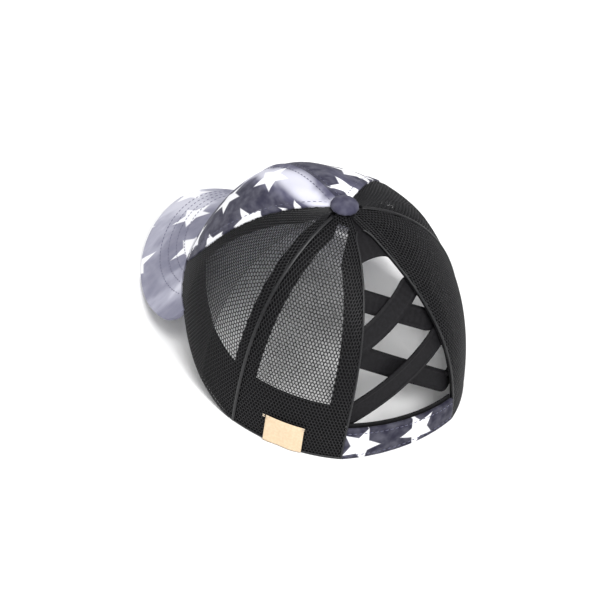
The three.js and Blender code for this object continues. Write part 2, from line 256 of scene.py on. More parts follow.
def opening_half(up):
    share = np.clip(up / OPENING_SHOULDER, 0, 1) ** OPENING_NARROWING
    sides = OPENING_HALF_HEM - (OPENING_HALF_HEM - OPENING_HALF_TOP) * share
    above = np.clip((up - OPENING_SHOULDER) / (OPENING_TOP - OPENING_SHOULDER), 0, 1)
    return np.where(up > OPENING_SHOULDER, OPENING_HALF_TOP * np.sqrt(1 - above * above), sides)


def opening_edge(up):
    return BACK - opening_half(up)


# %% [markdown]
# ## Camera, floor and light
# The photograph was taken from behind the wearer's left shoulder, looking down at about forty
# degrees with a long lens, on a white sweep. A long lens far away keeps the proportions flat, so
# the distance matters as much as the angle. The light is broad and soft, from above.

# %% Camera
PHOTO_SIZE = 600
AZIMUTH, ELEVATION, ROLL = (math.radians(angle) for angle in (142.1, 40.24, 8.39))
DISTANCE = 1568.5 * MM
FOCAL_PIXELS = 2805.9
SENSOR = 36
LOOK_AT = Vector((0, CROWN_Y, 50 * MM))
LOOK_PIXEL = (327.9, 282.8)  # where LOOK_AT is in the photograph


def make_camera():
    back = Vector((
        math.sin(AZIMUTH) * math.cos(ELEVATION),
        -math.cos(AZIMUTH) * math.cos(ELEVATION),
        math.sin(ELEVATION),
    ))
    level = Vector((math.cos(AZIMUTH), math.sin(AZIMUTH), 0))
    upright = back.cross(level)
    right = level * math.cos(ROLL) + upright * math.sin(ROLL)
    up = upright * math.cos(ROLL) - level * math.sin(ROLL)
    place = LOOK_AT + back * DISTANCE
    scale = DISTANCE / FOCAL_PIXELS
    aim = LOOK_AT + right * (PHOTO_SIZE / 2 - LOOK_PIXEL[0]) * scale
    aim += up * (LOOK_PIXEL[1] - PHOTO_SIZE / 2) * scale
    away = (place - aim).normalized()
    side = up.cross(away).normalized()
    data = bpy.data.cameras.new("camera")
    data.sensor_width = SENSOR
    data.lens = FOCAL_PIXELS * SENSOR / PHOTO_SIZE
    data.clip_start = 0.1
    data.clip_end = 20
    camera = bpy.data.objects.new("camera", data)
    axes = Matrix((side, away.cross(side), away)).transposed().to_4x4()
    camera.matrix_world = Matrix.Translation(place) @ axes
    scene.collection.objects.link(camera)
    scene.camera = camera
    return camera


camera = make_camera()
print("camera at", [round(value, 3) for value in camera.location])


# %% Floor and studio light
def srgb(red, green, blue):
    """A colour as it is read off a screen, from 0 to 255, made linear."""
    values = [value / 255 for value in (red, green, blue)]
    return (*(v / 12.92 if v <= 0.04045 else ((v + 0.055) / 1.055) ** 2.4 for v in values), 1)


def plain_material(name, colour, roughness):
    material = bpy.data.materials.new(name)
    material.use_nodes = True
    shader = material.node_tree.nodes["Principled BSDF"]
    shader.inputs["Base Color"].default_value = colour
    shader.inputs["Roughness"].default_value = roughness
    return material


def make_floor():
    bm = bmesh.new()
    bmesh.ops.create_grid(bm, x_segments=1, y_segments=1, size=3)
    mesh = bpy.data.meshes.new("floor")
    bm.to_mesh(mesh)
    bm.free()
    mesh.materials.append(plain_material("white_sweep", srgb(250, 250, 250), 0.9))
    floor = bpy.data.objects.new("floor", mesh)
    scene.collection.objects.link(floor)
    floor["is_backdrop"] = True
    return floor


LIGHTS = (  # name, azimuth, elevation, distance, size, watts
    ("top_softbox", 150, 70, 1.5, 0.7, 12),
    ("left_softbox", 70, 38, 1.6, 0.7, 3),
    ("back_softbox", 180, 46, 1.6, 0.6, 15),
)


def make_light(name, azimuth, elevation, distance, size, watts):
    data = bpy.data.lights.new(name, "AREA")
    data.shape = "DISK"
    data.size = size
    data.energy = watts
    light = bpy.data.objects.new(name, data)
    a, e = math.radians(azimuth), math.radians(elevation)
    way = Vector((math.sin(a) * math.cos(e), -math.cos(a) * math.cos(e), math.sin(e)))
    light.location = LOOK_AT + way * distance
    light.rotation_euler = way.to_track_quat("Z", "Y").to_euler()
    scene.collection.objects.link(light)


floor = make_floor()
for row in LIGHTS:
    make_light(*row)
world = bpy.data.worlds.new("studio")
world.use_nodes = True
world.node_tree.nodes["Background"].inputs["Color"].default_value = (1, 1, 1, 1)
world.node_tree.nodes["Background"].inputs["Strength"].default_value = 0.6
scene.world = world
scene.view_settings.view_transform = "Standard"
print("studio:", len(LIGHTS), "lights and a white world")

# %% [markdown]
# ## Cloth, net and thread as materials
# Each finish is a few nodes: a colour that varies as the real one does, a bump at the scale of
# its weave, and a soft sheen, because cotton and knitted nylon scatter light along their fuzz.
# Patterns that follow the cloth read a UV map called flat, where one unit is 100 mm of cloth.

# %% A small kit for shader nodes
UNIT = 100 * MM


class Finish:
    """A material and its node tree, with short calls for the nodes that these finishes use."""

    def __init__(self, name, roughness, sheen=0.0, specular=0.3):
        self.material = bpy.data.materials.new(name)
        self.material.use_nodes = True
        self.nodes = self.material.node_tree.nodes
        self.links = self.material.node_tree.links
        self.shader = self.nodes["Principled BSDF"]
        self.shader.inputs["Roughness"].default_value = roughness
        self.shader.inputs["Sheen Weight"].default_value = sheen
        self.shader.inputs["Sheen Roughness"].default_value = 0.4
        self.shader.inputs["Specular IOR Level"].default_value = specular

    def add(self, kind, inputs=(), output=0, **settings):
        node = self.nodes.new("ShaderNode" + kind)
        for key, value in settings.items():
            setattr(node, key, value)
        for key, value in dict(inputs).items():
            if isinstance(value, bpy.types.NodeSocket):
                self.links.new(value, node.inputs[key])
            else:
                node.inputs[key].default_value = value
        return node.outputs[output]

    def flat(self):
        return self.add("UVMap", uv_map="flat")

    def place(self):
        return self.add("TexCoord", output="Object")

    def math(self, operation, first, second=0.0):
        return self.add("Math", {0: first, 1: second}, operation=operation)

    def mix(self, share, first, second):
        inputs = {0: share, 6: first, 7: second}
        return self.add("Mix", inputs, output=2, data_type="RGBA")

    def noise(self, where, scale, detail=3.0, distortion=0.0):
        inputs = {"Vector": where, "Scale": scale, "Detail": detail, "Distortion": distortion}
        return self.add("TexNoise", inputs)

    def stretch(self, value, low, high, to_low=0.0, to_high=1.0):
        inputs = {0: value, 1: low, 2: high, 3: to_low, 4: to_high}
        return self.add("MapRange", inputs, interpolation_type="SMOOTHSTEP")

    def wave(self, where, scale, direction, distortion=0.0):
        inputs = {"Vector": where, "Scale": scale, "Distortion": distortion}
        return self.add("TexWave", inputs, output=1, bands_direction=direction)

    def bump(self, height, distance, strength=1.0):
        inputs = {"Height": height, "Distance": distance, "Strength": strength}
        self.links.new(self.add("Bump", inputs), self.shader.inputs["Normal"])

    def colour(self, socket):
        self.links.new(socket, self.shader.inputs["Base Color"])
        return self.material


def weave_height(finish, threads_per_mm):
    """Over and under of a plain weave: two crossing waves, one for each set of threads."""
    where = finish.flat()
    scale = threads_per_mm * UNIT / MM / 20
    across = finish.wave(where, scale, "X", 0.4)
    along = finish.wave(where, scale, "Y", 0.4)
    return finish.math("MULTIPLY", across, along)


# %% [markdown]
# ## The printed cloth
# The front panels, peak, band and button are one cotton print: a washed slate and lavender
# tie-dye with plain white five-point stars. Dye spreads in soft clouds, so noise makes the
# clouds. Across the left panel runs a wide pale sweep, partly the dye's pale area and partly a
# painted highlight where light catches a soft fold. A star is easy to draw in nodes: the angle
# round its middle is folded to half a point, and there its outline is one straight line.

# %% Star group
STAR_POINTS = 5
STAR_WAIST = 0.47  # inner corners, as a share of the radius
STAR_EDGE = 0.004  # softness of the print's edge, in UV units


def star_group():
    group = bpy.data.node_groups.new("five_point_star", "ShaderNodeTree")
    kinds = {"Where": "Vector", "Middle": "Vector", "Turn": "Float", "Radius": "Float"}
    for name, kind in kinds.items():
        group.interface.new_socket(name, in_out="INPUT", socket_type="NodeSocket" + kind)
    group.interface.new_socket("Mask", in_out="OUTPUT", socket_type="NodeSocketFloat")
    source = group.nodes.new("NodeGroupInput")
    sink = group.nodes.new("NodeGroupOutput")

    def calc(operation, *values):
        node = group.nodes.new("ShaderNodeMath")
        node.operation = operation
        for i, value in enumerate(values):
            if isinstance(value, bpy.types.NodeSocket):
                group.links.new(value, node.inputs[i])
            else:
                node.inputs[i].default_value = value
        return node.outputs[0]

    away = group.nodes.new("ShaderNodeVectorMath")
    away.operation = "SUBTRACT"
    group.links.new(source.outputs["Where"], away.inputs[0])
    group.links.new(source.outputs["Middle"], away.inputs[1])
    parts = group.nodes.new("ShaderNodeSeparateXYZ")
    group.links.new(away.outputs[0], parts.inputs[0])
    x, y = parts.outputs[0], parts.outputs[1]
    reach = calc("SQRT", calc("ADD", calc("MULTIPLY", x, x), calc("MULTIPLY", y, y)))
    point = 2 * math.pi / STAR_POINTS
    angle = calc("ADD", calc("ARCTAN2", y, x), source.outputs["Turn"])
    folded = calc("FLOORED_MODULO", calc("ADD", angle, 20 * point + point / 2), point)
    half = calc("ABSOLUTE", calc("SUBTRACT", folded, point / 2))
    edge = np.array([STAR_WAIST * math.cos(point / 2) - 1, STAR_WAIST * math.sin(point / 2)])
    normal = np.array([edge[1], -edge[0]]) / np.linalg.norm(edge)
    along = calc("MULTIPLY", reach, calc("COSINE", half))
    along = calc("SUBTRACT", along, source.outputs["Radius"])
    across = calc("MULTIPLY", reach, calc("SINE", half))
    along = calc("MULTIPLY", along, float(normal[0]))
    outside = calc("ADD", along, calc("MULTIPLY", across, float(normal[1])))
    ramp = group.nodes.new("ShaderNodeMapRange")
    ramp.inputs[1].default_value = STAR_EDGE
    ramp.inputs[2].default_value = -STAR_EDGE
    group.links.new(outside, ramp.inputs[0])
    group.links.new(ramp.outputs[0], sink.inputs["Mask"])
    return group


STAR = star_group()


def stars(finish, where, rows):
    """White stars at (x mm, y mm, turn in degrees, radius mm) on the cloth."""
    total = None
    for x, y, turn, radius in rows:
        node = finish.nodes.new("ShaderNodeGroup")
        node.node_tree = STAR
        finish.links.new(where, node.inputs["Where"])
        node.inputs["Middle"].default_value = (x * MM / UNIT, y * MM / UNIT, 0)
        node.inputs["Turn"].default_value = math.radians(turn)
        node.inputs["Radius"].default_value = radius * MM / UNIT
        mask = node.outputs["Mask"]
        total = mask if total is None else finish.math("MAXIMUM", total, mask)
    return total


# %% Tie-dye cloth
def print_cloth(name, dark, middle, light, rows, clouds=(0.42, 0.62), sweep=None, weave=2.2):
    """Dyed cloth. An optional pale band, (x mm, y mm, direction in degrees, half width mm), is
    partly dye and partly a painted highlight.
    """
    finish = Finish(name, 0.85, sheen=0.06, specular=0.15)
    where = finish.flat()
    cloud = finish.noise(where, 1.9, 4.0, 0.7)
    dye_and_highlight_share = finish.stretch(cloud, *clouds)
    # The pale band is partly the dye's pale area and partly a painted highlight, where light
    # catches a soft fold across the panel.
    if sweep:
        x, y, direction, half = sweep
        turn = math.radians(direction)
        flat_x = finish.add("SeparateXYZ", {0: where}, output=0)
        flat_y = finish.add("SeparateXYZ", {0: where}, output=1)
        flat_x = finish.math("MULTIPLY", flat_x, -math.sin(turn))
        away = finish.math("ADD", flat_x, finish.math("MULTIPLY", flat_y, math.cos(turn)))
        away = finish.math("ADD", away, (math.sin(turn) * x - math.cos(turn) * y) * MM / UNIT)
        drift = finish.math("MULTIPLY", finish.math("SUBTRACT", cloud, 0.5), 0.6)
        away = finish.math("ADD", away, drift)
        streak = finish.stretch(finish.math("ABSOLUTE", away), half * MM / UNIT, 0.0)
        dye_and_highlight_share = finish.math("MAXIMUM", finish.math("MULTIPLY", dye_and_highlight_share, 0.55), streak)
    fine = finish.noise(where, 14.0, 2.0)
    shade = finish.mix(finish.stretch(dye_and_highlight_share, 0.0, 0.5), dark, middle)
    shade = finish.mix(finish.stretch(dye_and_highlight_share, 0.45, 1.0), shade, light)
    faded_and_highlit = finish.mix(finish.stretch(fine, 0.3, 0.8, 0.0, 0.12), shade, light)
    white = srgb(246, 246, 250)
    coloured = finish.mix(stars(finish, where, rows), faded_and_highlit, white) if rows else faded_and_highlit
    height = weave_height(finish, weave)
    rough = finish.math("MULTIPLY", finish.math("ADD", height, fine), 0.5)
    finish.bump(rough, 0.12 * MM, 0.5)
    return finish.colour(coloured)


SLATE = srgb(50, 49, 66)
SLATE_MID = srgb(84, 83, 104)
LAVENDER = srgb(200, 200, 214)
PALE = srgb(208, 208, 221)
INK = srgb(36, 35, 50)

STAR_PITCH = 37  # mm from star to star along a row
STAR_TURN = 27  # degrees from one star to the next, so that no two neighbours match


def scattered_stars(left, right, bottom, top, radius, first_turn=0):
    """Stars in staggered rows over a piece of cloth, in mm, each turned further than the last."""
    rows = []
    for i, y in enumerate(np.arange(bottom, top, 0.8 * STAR_PITCH)):
        for x in np.arange(left + (i % 2) * STAR_PITCH / 2, right, STAR_PITCH):
            rows.append((float(x), float(y), first_turn + STAR_TURN * len(rows), radius))
    return rows


PANEL_STARS = {
    1: scattered_stars(16, 76, 18, 128, 13),
    -1: scattered_stars(-70, -8, 26, 128, 13, 40),
}
panel_cloth = {
    # The left panel's pale band is partly dye and partly a painted highlight on a soft fold.
    1: print_cloth(
        "panel_print_and_highlight_left", SLATE, SLATE_MID, PALE, PANEL_STARS[1], (0.5, 0.75), (10, 70, 86, 24)
    ),
    -1: print_cloth("panel_print_right", SLATE, SLATE_MID, PALE, PANEL_STARS[-1], (0.5, 0.78)),
}
PEAK_STARS = scattered_stars(-70, 76, -44, 34, 11.5, 15)
peak_dyes = [srgb(126, 126, 144), srgb(164, 164, 180), srgb(206, 206, 218)]
band_dyes = [INK, srgb(48, 47, 64), LAVENDER]
button_dyes = [srgb(54, 53, 70), srgb(70, 69, 88), LAVENDER]
BAND_STARS = scattered_stars(-28, 30, 9, 12, 12, 5)
peak_cloth = print_cloth("peak_print", *peak_dyes, PEAK_STARS, (0.38, 0.68))
band_cloth = print_cloth("band_print", *band_dyes, BAND_STARS, (0.55, 1.1))
button_cloth = print_cloth("button_print", *button_dyes, (), (0.4, 0.9))
print("printed cloths:", 5)


# %% [markdown]
# ## Net, tape and thread
# The side and back panels are knitted polyester net, near black with a dull shine along each
# strand. Tapes and elastic are ribbed across. Threads and labels are plain.

# %% Plain finishes
def net_finish(name, colour):
    finish = Finish(name, 0.4, sheen=0.0, specular=0.4)
    fibre = finish.noise(finish.place(), 900.0, 2.0)
    finish.bump(fibre, 0.15 * MM, 0.6)
    return finish.colour(finish.mix(finish.stretch(fibre, 0.3, 0.7), colour, srgb(27, 27, 30)))


def tape_finish(name, colour, lighter, ribs_per_mm, direction):
    finish = Finish(name, 0.65, sheen=0.03, specular=0.2)
    where = finish.flat()
    ribs = finish.wave(where, ribs_per_mm * UNIT / MM / 20, direction)
    fuzz = finish.noise(finish.place(), 700.0, 2.0)
    finish.bump(finish.math("ADD", ribs, finish.math("MULTIPLY", fuzz, 0.6)), 0.1 * MM, 0.6)
    return finish.colour(finish.mix(finish.stretch(fuzz, 0.35, 0.7, 0.0, 0.6), colour, lighter))


def thread_finish(name, colour):
    finish = Finish(name, 0.55, sheen=0.2)
    twist = finish.noise(finish.place(), 1500.0, 1.0)
    finish.bump(twist, 0.1 * MM, 0.4)
    shade = finish.stretch(twist, 0.3, 0.7, 0.0, 0.35)
    return finish.colour(finish.mix(shade, colour, (0, 0, 0, 1)))


net_knit = net_finish("knitted_net", srgb(12, 12, 14))
webbing = tape_finish("black_elastic", srgb(9, 8, 11), srgb(21, 20, 24), 1.6, "X")
lining_cloth = tape_finish("sweatband_cloth", srgb(9, 9, 11), srgb(22, 22, 25), 1.0, "Y")
label_cloth = tape_finish("woven_label", srgb(216, 192, 160), srgb(228, 208, 180), 2.0, "X")
slate_thread = thread_finish("slate_thread", srgb(92, 92, 116))
peak_thread = thread_finish("peak_thread", srgb(118, 118, 142))
light_thread = thread_finish("light_thread", srgb(232, 214, 190))
print("finishes:", len(bpy.data.materials))


# %% [markdown]
# ## From a flat grid to a sewn piece
# Nearly every piece starts as a flat grid of unit size, which is then laid on the dome by a
# surface rule that turns its u and v into a place. Solidify gives it its wall, and a small bevel
# rounds the cut edge so that it catches light as a real folded edge does.

# %% Laying and finishing pieces
def unit_grid(columns, rows):
    bm = bmesh.new()
    bmesh.ops.create_grid(bm, x_segments=columns, y_segments=rows, size=0.5)
    return bm


def grid_places(bm):
    flat = np.array([vert.co[:] for vert in bm.verts])
    return flat[:, 0] + 0.5, flat[:, 1] + 0.5


def set_points(bm, points):
    for vert, point in zip(bm.verts, points):
        vert.co = point


def set_flat(bm, x, y):
    """Writes the flat UV map, in units of 100 mm, from a place for each vertex."""
    bm.verts.index_update()
    layer_uv = bm.loops.layers.uv.new("flat")
    for face in bm.faces:
        for loop in face.loops:
            i = loop.vert.index
            loop[layer_uv].uv = (x[i] / UNIT, y[i] / UNIT)


INSIDE = Vector((0, CROWN_Y, 30 * MM))


def turn_outward(bm, way=None):
    """Turns the faces so that they look away from the inside of the cap, or along way."""
    bm.normal_update()
    total = 0.0
    for face in bm.faces:
        out = way or (face.calc_center_median() - INSIDE)
        total += face.normal.dot(out) * face.calc_area()
    if total < 0:
        bmesh.ops.reverse_faces(bm, faces=bm.faces)


def make_piece(bm, name, material, nodes=(), wall=0.0, rim=0.0):
    mesh = bpy.data.meshes.new(name)
    bm.to_mesh(mesh)
    bm.free()
    mesh.shade_smooth()
    mesh.materials.append(material)
    piece = bpy.data.objects.new(name, mesh)
    scene.collection.objects.link(piece)
    if wall:
        solidify = piece.modifiers.new("wall", "SOLIDIFY")
        solidify.thickness = wall
        solidify.offset = -1
    if rim:
        bevel = piece.modifiers.new("rim", "BEVEL")
        bevel.width = rim
        bevel.segments = 2
        bevel.limit_method = "ANGLE"
        bevel.angle_limit = math.radians(50)
    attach(piece, "root")
    if nodes:
        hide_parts(*nodes)
    return piece


def crown_sheet(name, columns, rows, place, depth, wall, material, nodes=(), rim=0.0):
    """A piece of cloth on the dome: place(u, v) gives its angles and heights, and depth(u, v)
    or a number says how far under the crown's outer face it lies."""
    bm = unit_grid(columns, rows)
    u, v = grid_places(bm)
    theta, up = place(u, v)
    deep = depth(theta, up, u, v) if callable(depth) else depth
    set_points(bm, layer(theta, up, deep))
    middle = np.median(theta)
    set_flat(bm, (theta - middle * (abs(middle) > 2)) * spacing(middle, np.maximum(up, 1 * MM)), up)
    turn_outward(bm)
    return make_piece(bm, name, material, nodes, wall, rim)


# %% [markdown]
# ## Thread and rolled edges
# A row of stitches is many short, fat dashes of thread that sink at their ends. Each one here is
# a small ball, stretched and turned along the row, and a row is one joined mesh. A rolled edge
# is a thin tube along a path, for which a curve with a round bevel is the simplest tool.

# %% Stitch rows and rolled edges
def stitch_row(bm, points, normals, length=2.3 * MM, gap=0.8 * MM, radius=0.28 * MM):
    """Adds stitches along a line of points to a bmesh."""
    runs = np.linalg.norm(np.diff(points, axis=0), axis=1)
    travel = np.concatenate([[0], np.cumsum(runs)])
    count = max(int(travel[-1] / (length + gap)), 1)
    middles = (np.arange(count) + 0.5) * travel[-1] / count
    half = length / 2

    def at(distance, values):
        return np.stack([np.interp(distance, travel, values[:, k]) for k in range(3)], -1)

    centres = at(middles, points)
    ahead, behind = at(middles + half, points), at(middles - half, points)
    outs = at(middles, normals)
    for centre, along, out in zip(centres, ahead - behind, outs):
        along = Vector(along).normalized()
        out = Vector(out).normalized()
        side = along.cross(out).normalized()
        axes = Matrix((along * half, side * radius, out * radius)).transposed().to_4x4()
        place = Matrix.Translation(centre) @ axes
        bmesh.ops.create_icosphere(bm, subdivisions=1, radius=1, matrix=place)


def crown_stitches(bm, theta, up, depth=-0.15 * MM, **sizes):
    stitch_row(bm, layer(theta, up, depth), crown_normal(theta, up), **sizes)


def make_tube(name, points, radius, material, closed=False, resolution=3):
    curve = bpy.data.curves.new(name, "CURVE")
    curve.dimensions = "3D"
    curve.bevel_depth = radius
    curve.bevel_resolution = resolution
    curve.use_fill_caps = not closed
    spline = curve.splines.new("POLY")
    spline.points.add(len(points) - 1)
    for control, point in zip(spline.points, points):
        control.co = (*point, 1)
    spline.use_cyclic_u = closed
    holder = bpy.data.objects.new(name + "_path", curve)
    scene.collection.objects.link(holder)
    bpy.context.view_layer.update()
    evaluated = holder.evaluated_get(bpy.context.evaluated_depsgraph_get())
    mesh = bpy.data.meshes.new_from_object(evaluated)
    bpy.data.objects.remove(holder)
    bm = bmesh.new()
    bm.from_mesh(mesh)
    bpy.data.meshes.remove(mesh)
    bmesh.ops.remove_doubles(bm, verts=bm.verts, dist=0.01 * MM)
    bmesh.ops.recalc_face_normals(bm, faces=bm.faces)
    return make_piece(bm, name, material)


# %% [markdown]
# ## Front panels
# Two cotton panels meet at the centre seam, which stands up as a soft ridge. Their back edges are
# folded over the net and stitched down, so there the cloth is a little thicker, with a shallow
# valley at the stitch line. Slight dents keep the big surface from looking blown up.

# %% Front panels
PANEL_WALL = 1.5 * MM
FOLD_WIDTH = 5.5 * MM
FOLD_STITCH = FOLD_WIDTH * 0.72  # from the panel's back edge
SEAM_STITCH = 3.2 * MM  # from the centre seam


def panel_place(side, from_seam, to_seam):
    def place(u, v):
        seam_up = v * BACK_LENGTH
        theta = lerp(from_seam(seam_up), to_seam(seam_up), u)
        return side * theta, v * (crown_length(theta) - APEX_HOLE)

    return place


def cloth_relief(theta, up, u, v):
    """Depth of the panel's face: ridge at the centre seam, fold at the back edge, soft dents."""
    width = spacing(theta, np.maximum(up, 2 * MM)) * np.abs(theta)
    seam = front_seam(up)
    from_edge = np.clip(seam - np.abs(theta), 0, None) * spacing(theta, np.maximum(up, 2 * MM))
    ridge = -0.8 * MM * bell(width, 0, 2.0 * MM) + 0.35 * MM * bell(width, SEAM_STITCH, 0.8 * MM)
    fold = -0.55 * MM * (1 - smooth(from_edge, FOLD_WIDTH * 0.8, FOLD_WIDTH))
    valley = 0.3 * MM * bell(from_edge, FOLD_STITCH, 0.7 * MM)
    dents = 0.5 * MM * np.sin(up / (13 * MM) + 5 * theta) * np.sin(7 * theta + up / (21 * MM))
    dents = dents * smooth(width, 0, 12 * MM)
    return ridge + fold + valley + dents * smooth(from_edge, 0, 12 * MM)


for side, hand in ((1, "left"), (-1, "right")):
    crown_sheet(
        f"front_panel_cloth_{hand}", 70, 110, panel_place(side, front_middle, front_seam),
        cloth_relief, PANEL_WALL, panel_cloth[side], [f"front_panel_{hand}"],
        0.3 * MM,
    )
print("front panels laid")

# %% Stitches of the front panels
bm = bmesh.new()
heights = np.linspace(1 * MM, float(crown_length(0.0)) - 9 * MM, 160)
for side in (1, -1):
    offset = SEAM_STITCH / spacing(np.zeros_like(heights), heights)
    crown_stitches(bm, side * offset, heights, 0.1 * MM)
    seam_line = front_seam(heights)
    inset = FOLD_STITCH / spacing(seam_line, heights)
    crown_stitches(bm, side * (seam_line - inset), heights, -0.35 * MM)
make_piece(bm, "panel_topstitch", slate_thread)

# %% [markdown]
# ## The net panels
# Real net is open, and light and floor show through it, so a picture of holes won't do. The net
# here is a grid of bricks: every second upright of a plain grid is dissolved, row by row in turn,
# and the corners are nudged to make them six-sided. It is rolled out flat with an even pitch, cut
# at the seams and laid on the dome, and the Wireframe modifier turns its edges into strands.

# %% Net
NET_PITCH = 1.95 * MM
NET_ROW = 1.9 * MM
NET_STRAND = 0.68 * MM
NET_DEPTH = 0.6 * MM
SIDE_NET_MIDDLE = math.radians(78)
BACK_NET_MIDDLE = math.radians(133)
NET_ZIGZAG = 0.2
NET_RIPPLE = 0.45 * MM  # how far the rows wave where the net is gathered, near the button


def net_panel(name, side, middle, from_seam, to_seam, half_span, nodes):
    across = 2 * int(half_span / NET_PITCH) * 2
    rows = int(BACK_LENGTH / NET_ROW)
    bm = unit_grid(across, rows)
    u, v = grid_places(bm)
    column = np.rint(u * across).astype(int)
    row = np.rint(v * rows).astype(int)
    bm.verts.index_update()
    drop = []
    for edge in bm.edges:
        a, b = (vert.index for vert in edge.verts)
        if column[a] == column[b] and (column[a] + min(row[a], row[b])) % 2:
            drop.append(edge)
    zigzag = np.where((column + row) % 2, -NET_ZIGZAG, NET_ZIGZAG)
    along = (column - across / 2) * NET_PITCH / 2
    up = (row + zigzag) * NET_ROW + 0.9 * MM
    up = up + NET_RIPPLE * np.sin(along / (2.2 * NET_PITCH)) * smooth(up, 60 * MM, 120 * MM)
    inside = np.clip(up, 1 * MM, BACK_LENGTH - APEX_HOLE)
    theta = middle + along / spacing(np.full_like(up, middle), inside)
    limit = crown_length(theta) - APEX_HOLE
    kept = (theta > from_seam(up)) & (theta < to_seam(up)) & (up < limit) & (up > 0)
    points = layer(side * theta, np.clip(up, 0, limit), NET_DEPTH)
    set_points(bm, points)
    bmesh.ops.dissolve_edges(bm, edges=drop, use_verts=False)
    bm.verts.index_update()

    def key(point):
        return tuple(round(value, 7) for value in point)

    keep_of = dict(zip(map(key, points), kept))
    outside = [vert for vert in bm.verts if not keep_of.get(key(vert.co), True)]
    bmesh.ops.delete(bm, geom=outside, context="VERTS")
    turn_outward(bm)
    piece = make_piece(bm, name, net_knit, nodes)
    wire = piece.modifiers.new("strands", "WIREFRAME")
    wire.thickness = NET_STRAND
    wire.use_even_offset = False
    wire.use_relative_offset = False
    wire.use_boundary = True
    return piece


for side, hand in ((1, "left"), (-1, "right")):
    side_panel = (SIDE_NET_MIDDLE, front_seam, back_seam, 80 * MM)
    back_panel = (BACK_NET_MIDDLE, back_seam, opening_edge, 62 * MM)
    net_panel(f"side_net_{hand}", side, *side_panel, [f"side_mesh_{hand}"])
    net_panel(f"back_net_{hand}", side, *back_panel, [f"back_mesh_{hand}"])
print("net laid")

# %% [markdown]
# ## Tapes, sweatband and facing
# Under each seam runs a flat black tape, which shows through the net as a dark band. Inside the
# hem lies the sweatband, and round the open back a wide black facing carries the strap ends.
# At the opening's round top the facing closes into a black web, painted shade: a sheet that
# stands in for the shaded inside of the crown.

# %% Sheets inside the crown
LAYER_DEPTH = 1.9 * MM
SWEATBAND_HEIGHT = 34.6 * MM
SEAM_GAP = 0.3 * MM


def sweatband_place(u, v):
    up = v * SWEATBAND_HEIGHT
    end = opening_edge(up) - SEAM_GAP / spacing(opening_edge(up), up)
    return lerp(-end, end, u), up


def sweatband_relief(theta, up, u, v):
    pad = -0.25 * MM * np.sin(np.pi * v) ** 0.5
    return LAYER_DEPTH + pad + 0.2 * MM * bell(v, 0.93, 0.02)


crown_sheet(
    "sweatband_cloth", 220, 20, sweatband_place, sweatband_relief, 1.2 * MM,
    lining_cloth, ["sweatband"], 0.3 * MM,
)

TAPE_HALF = 8 * MM
TAPE_HALF_ANGLE_MOST = math.radians(21)
TAPE_END = 9 * MM


def tape_place(side, seam):
    def place(u, v):
        top = crown_length(seam(v * BACK_LENGTH)) - TAPE_END
        up = lerp(SWEATBAND_HEIGHT + SEAM_GAP, top, v)
        theta = seam(up)
        half = np.minimum(TAPE_HALF / spacing(theta, up), TAPE_HALF_ANGLE_MOST)
        return side * (theta + (2 * u - 1) * half), up

    return place


for side, hand in ((1, "left"), (-1, "right")):
    for seam, where in ((front_seam, "front"), (back_seam, "back")):
        name = f"seam_tape_{where}_{hand}"
        place = tape_place(side, seam)
        crown_sheet(
            name + "_cloth", 12, 60, place, LAYER_DEPTH, 1.0 * MM, webbing, [name]
        )

# %% Facing of the opening
FACING_WIDTH = 11 * MM
FACING_END = 7 * MM
# Above this height the facing closes into a web across the opening's round top: painted shade, a
# black sheet that stands in for the shaded inside of the crown.
SHADE_WEB_FOOT = 114 * MM
SHADE_WEB_CREST = 3 * MM
LEG_SHARE = 0.68  # share of each side's stations that lie in its leg


def facing_place(u, v):
    along = 1 - np.abs(2 * v - 1)
    side = np.where(v < 0.5, -1, 1)
    foot = SWEATBAND_HEIGHT + SEAM_GAP
    up = lerp(foot, SHADE_WEB_FOOT, np.clip(along / LEG_SHARE, 0, 1))
    turn = np.clip((along - LEG_SHARE) / (1 - LEG_SHARE), 0, 1) * np.pi / 2

    def edge(width, rise):
        angle = opening_half(up) + width / spacing(opening_edge(up), up)
        return BACK + side * angle * np.cos(turn), up + rise * np.sin(turn)

    outer = edge(FACING_WIDTH, BACK_LENGTH - FACING_END - SHADE_WEB_FOOT)
    inner = edge(0, SHADE_WEB_CREST)
    return lerp(outer[0], inner[0], u), lerp(outer[1], inner[1], u)


crown_sheet(
    "opening_facing_and_shade_web", 14, 160, facing_place, LAYER_DEPTH, 1.2 * MM,
    webbing, ["opening_facing"], 0.25 * MM,
)
print("inner sheets laid")

# %% [markdown]
# ## Elastic straps
# Four elastic straps cross the opening in two pairs. They are stretched, so they run nearly
# straight from one side to the other, with a soft raised line just inside each edge where the
# elastic is turned and sewn. Their ends are sewn under the facing.

# %% Straps
STRAP_WIDTH = 12.4 * MM
STRAP_WALL = 1.0 * MM
STRAP_TAB = 8 * MM
STRAP_TAUTNESS = {"outer": 0.2, "inner": 0.9}
STRAP_DEPTH = {"outer": 3.9 * MM, "inner": 5.5 * MM}
STRAP_HEM = 1.7 * MM  # from each edge to its raised line
TAB_STEPS = 8
STRAPS = (  # name, ends' heights as shares of the opening's, layer
    ("cross_strap_upper_inner", 0.712, 0.526, "inner"),
    ("cross_strap_upper_outer", 0.525, 0.698, "outer"),
    ("cross_strap_lower_inner", 0.475, 0.19, "inner"),
    ("cross_strap_lower_outer", 0.2, 0.44, "outer"),
)


